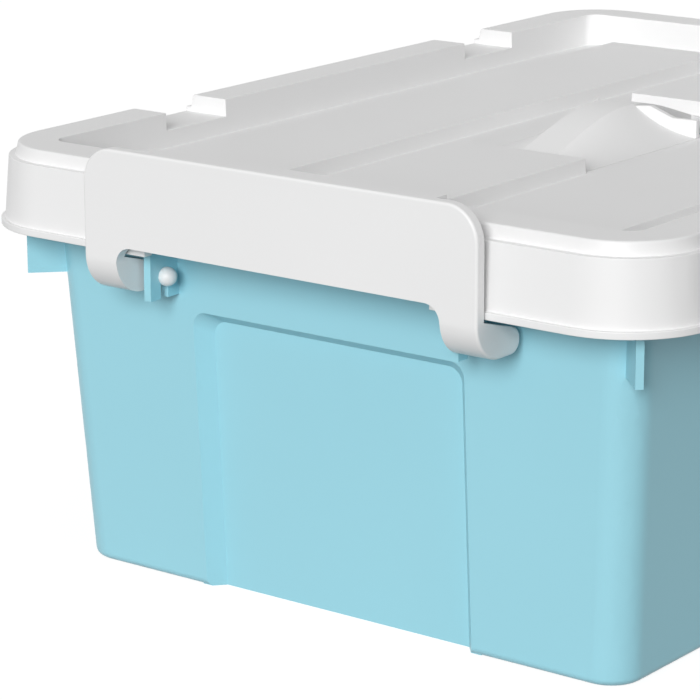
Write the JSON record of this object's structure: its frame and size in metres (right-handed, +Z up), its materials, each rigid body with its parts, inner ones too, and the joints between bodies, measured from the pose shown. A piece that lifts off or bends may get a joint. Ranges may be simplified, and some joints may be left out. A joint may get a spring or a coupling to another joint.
{
  "type": "art supply box",
  "caption": "Rectangular plastic art supply box: tapered tub, lift-off lid with a carry handle, lift-out tray and a swing latch over each short end.",
  "frame": {"origin": "middle of the tub's floor, on the surface it stands on", "axes": "+Z up, +Y along the box from one latch to the other, +X across it"},
  "size_m": [0.2378, 0.3324, 0.1334],
  "materials": {
    "blue_plastic": "satin moulded polypropylene, pale aqua blue",
    "white_plastic": "satin moulded polypropylene, white"
  },
  "bodies": {
    "box": {"tub": "blue_plastic"},
    "lid": {"lid": "white_plastic", "carry_handle": "white_plastic"},
    "front_latch": {"front_latch": "white_plastic"},
    "rear_latch": {"rear_latch": "white_plastic"},
    "tray": {"lift_out_tray": "blue_plastic"}
  },
  "joints": [
    {"name": "lid_lift", "type": "slide", "parent": "box", "child": "lid", "axis": [0, 0, 1], "range_m": [0, 0.1]},
    {"name": "front_latch_swing", "type": "hinge", "parent": "box", "child": "front_latch", "pos_m": [0, -0.15002, 0.0949], "axis": [1, 0, 0], "range_deg": [0, 110]},
    {"name": "rear_latch_swing", "type": "hinge", "parent": "box", "child": "rear_latch", "pos_m": [0, 0.15002, 0.0949], "axis": [-1, 0, 0], "range_deg": [0, 110]},
    {"name": "tray_lift", "type": "slide", "parent": "box", "child": "tray", "axis": [0, 0, 1], "range_m": [0, 0.06]}
  ],
  "couplings": [
    {"joint": "front_latch_swing", "follows": "lid_lift", "rad_per_m": 19.19},
    {"joint": "rear_latch_swing", "follows": "lid_lift", "rad_per_m": 19.19},
    {"joint": "tray_lift", "follows": "lid_lift", "ratio": 0.59}
  ]
}
